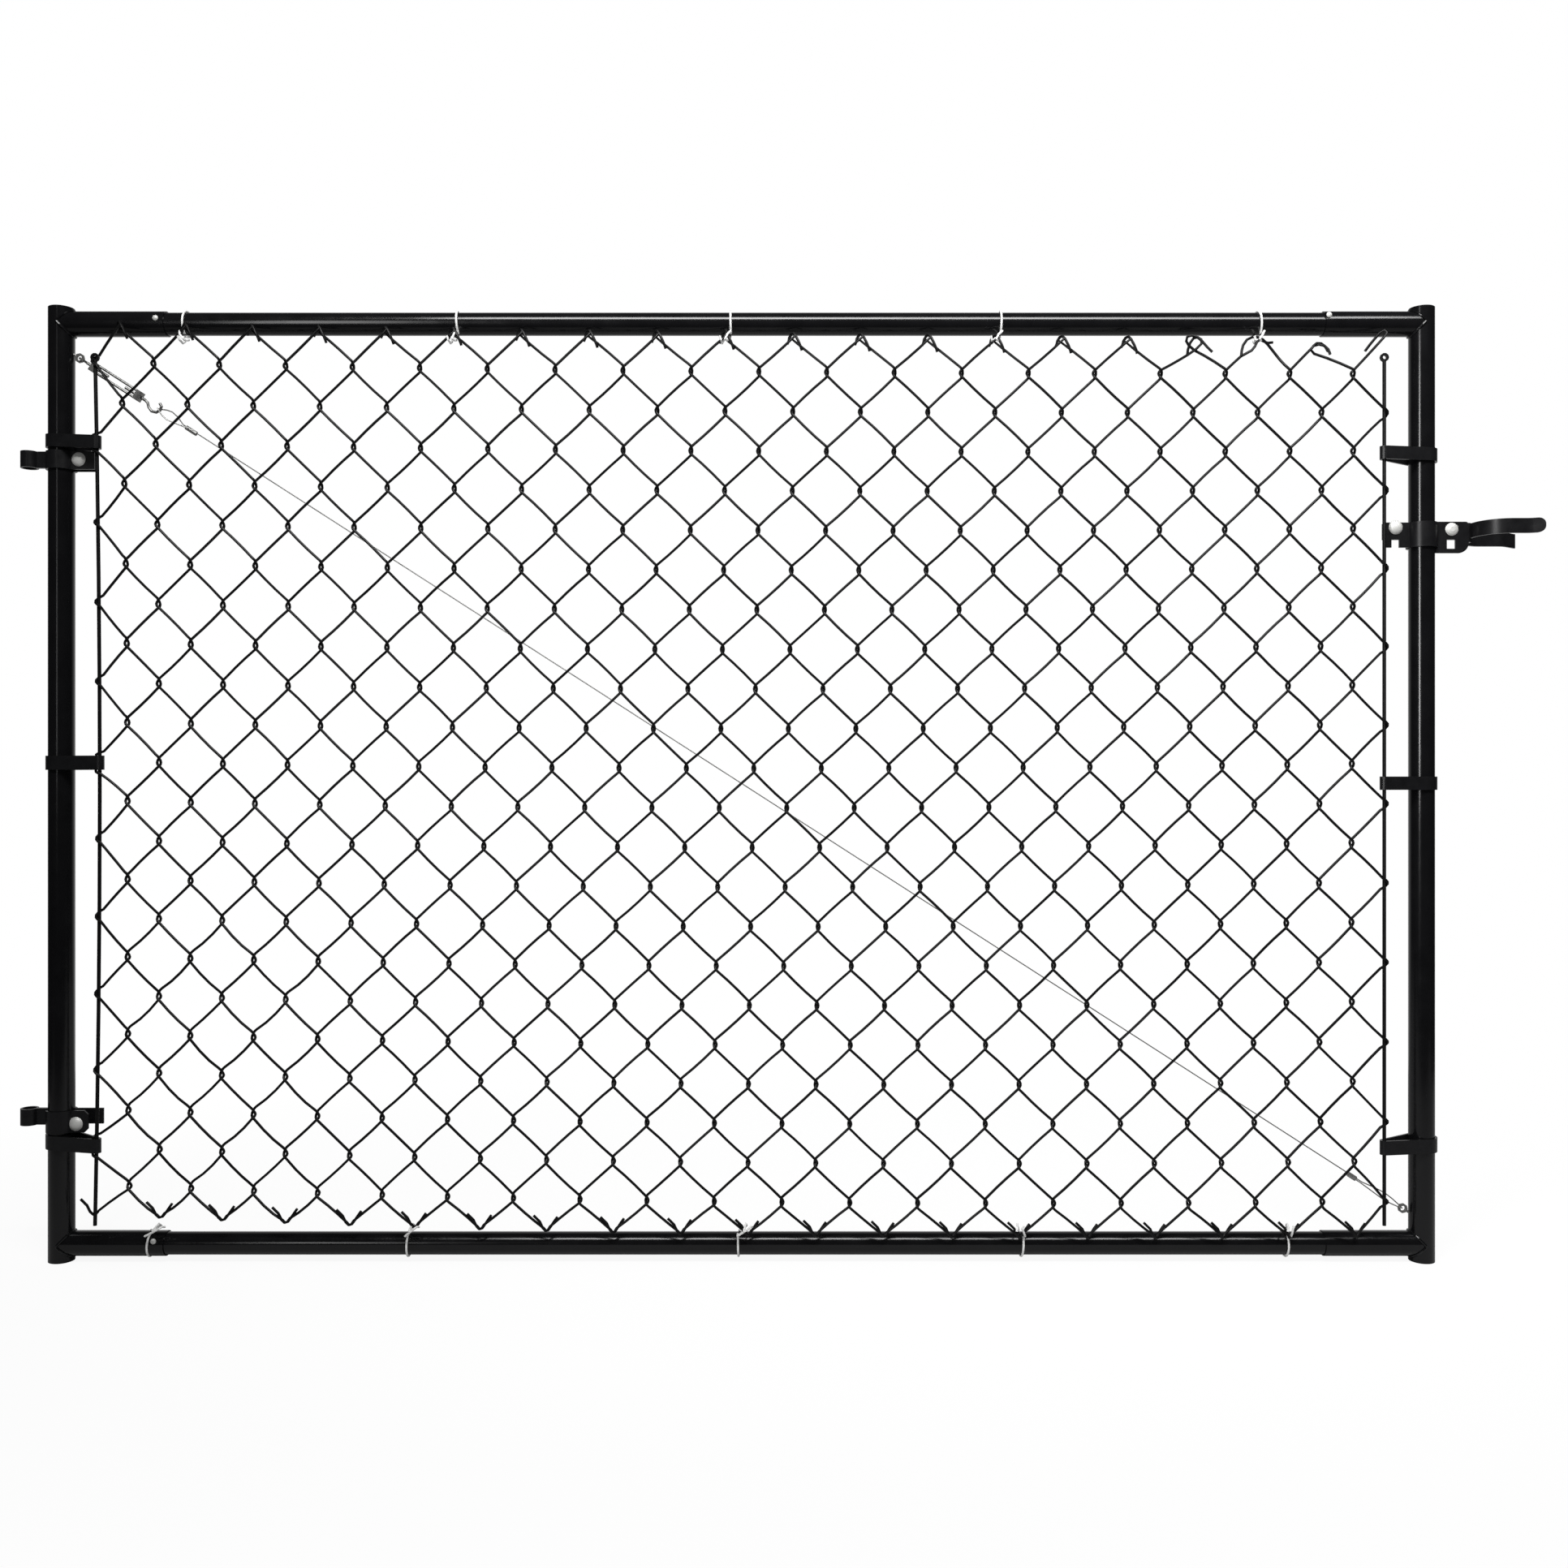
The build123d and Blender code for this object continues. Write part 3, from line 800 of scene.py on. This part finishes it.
def lamp(scene, name, place, target, width, height, power, spread):
    data = bpy.data.lights.new(name, "AREA")
    data.shape = "RECTANGLE"
    data.size = width
    data.size_y = height
    data.energy = power
    data.spread = math.radians(spread)
    made = bpy.data.objects.new(name, data)
    made.location = place
    made.rotation_euler = (Vector(target) - Vector(place)).to_track_quat("-Z", "Y").to_euler()
    made.visible_camera = False
    scene.collection.objects.link(made)


def white_room(scene):
    """White to the camera, grey as light, and in the gloss white behind the gate only."""
    scene.world = bpy.data.worlds.new("white_room")
    paint = Paint(scene.world)
    camera = paint.node("ShaderNodeLightPath", out="Is Camera Ray")
    glossy = camera.other("Is Glossy Ray")
    spot = paint.node("ShaderNodeTexCoord", out="Generated")
    depth = paint.node("ShaderNodeSeparateXYZ", {}, {"Vector": spot}, out="Y")
    behind = paint.node("ShaderNodeMapRange", {"clamp": True}, {
        "Value": depth, "From Min": 0.45, "From Max": 1.0, "To Min": DARK_FRONT, "To Max": 1.0})
    seen = camera.larger(camera.other("Is Transmission Ray"))
    plain = (1 - seen.larger(glossy)) * ROOM_LIGHT
    level = seen + (1 - seen) * glossy * behind + plain
    shine = paint.node("ShaderNodeBackground", {}, {"Color": level, "Strength": 1.0})
    paint.end(shine, "ShaderNodeOutputWorld")


def pale_floor(scene):
    """A pale floor that the camera sees as white, with a faint shadow under the gate."""
    paint = Paint(bpy.data.materials.new("pale_floor"))
    seen = paint.node("ShaderNodeLightPath", out="Is Camera Ray")
    pale = paint.node("ShaderNodeBsdfDiffuse", {}, {"Color": (0.50, 0.50, 0.50)})
    white = paint.node("ShaderNodeBsdfDiffuse", {}, {"Color": (1.0, 1.0, 1.0)})
    bright = paint.node(
        "ShaderNodeEmission", {}, {"Color": (1.0, 1.0, 1.0), "Strength": 1.0})
    spot = paint.node("ShaderNodeTexCoord", out="Object")
    wide, long = FLOOR_NEAR
    around = paint.node("ShaderNodeMapping", {}, {
        "Vector": spot, "Location": (-MIDDLE_X / wide, 0, 0), "Scale": (1 / wide, 1 / long, 0)})
    near = paint.node(
        "ShaderNodeTexGradient", {"gradient_type": "SPHERICAL"}, {"Vector": around}, out=1)
    shade = paint.node("ShaderNodeMapRange", {"clamp": True}, {
        "Value": near, "From Min": 0.0, "From Max": 0.5, "To Min": 1.0, "To Max": 0.90})
    paint.end(paint.shader_mix(seen, pale, paint.shader_mix(shade, white, bright)))
    work = bmesh.new()
    bmesh.ops.create_grid(work, x_segments=2, y_segments=2, size=1.0)
    bmesh.ops.scale(work, verts=work.verts, vec=(*FLOOR_HALF, 1.0))
    bmesh.ops.translate(work, verts=work.verts, vec=(MIDDLE_X, FLOOR_Y, cad_box[0][2]))
    mesh = bpy.data.meshes.new("floor")
    work.to_mesh(mesh)
    work.free()
    mesh.materials.append(paint.holder)
    floor = bpy.data.objects.new("floor", mesh)
    scene.collection.objects.link(floor)


class GATE_PT_panel(bpy.types.Panel):
    bl_label = "Chain link gate"
    bl_idname = "GATE_PT_panel"
    bl_space_type = "VIEW_3D"
    bl_region_type = "UI"
    bl_category = "Gate"

    def draw(self, context):
        column = self.layout.column()
        for group in (context.scene.gate_sizes, context.scene.gate_colours):
            for key in group.bl_rna.properties.keys():
                if key not in ("rna_type", "name"):
                    column.prop(group, key)
        for step in OPERATORS:
            column.operator(step.bl_idname)


OPERATORS = (
    GATE_OT_finishes, GATE_OT_fabric, GATE_OT_ties, GATE_OT_bolts, GATE_OT_welds, GATE_OT_stage)
CLASSES = (GateSizes, GateColours, *OPERATORS, GATE_PT_panel)


def register():
    for made in CLASSES:
        bpy.utils.register_class(made)
    bpy.types.Scene.gate_sizes = bpy.props.PointerProperty(type=GateSizes)
    bpy.types.Scene.gate_colours = bpy.props.PointerProperty(type=GateColours)


def unregister():
    del bpy.types.Scene.gate_colours
    del bpy.types.Scene.gate_sizes
    for made in reversed(CLASSES):
        bpy.utils.unregister_class(made)


def main():
    register()
    bpy.ops.gate.finishes()
    bpy.ops.gate.fabric()
    bpy.ops.gate.ties()
    bpy.ops.gate.bolts()
    bpy.ops.gate.welds()
    bpy.ops.gate.stage()


if __name__ == "__main__":
    main()
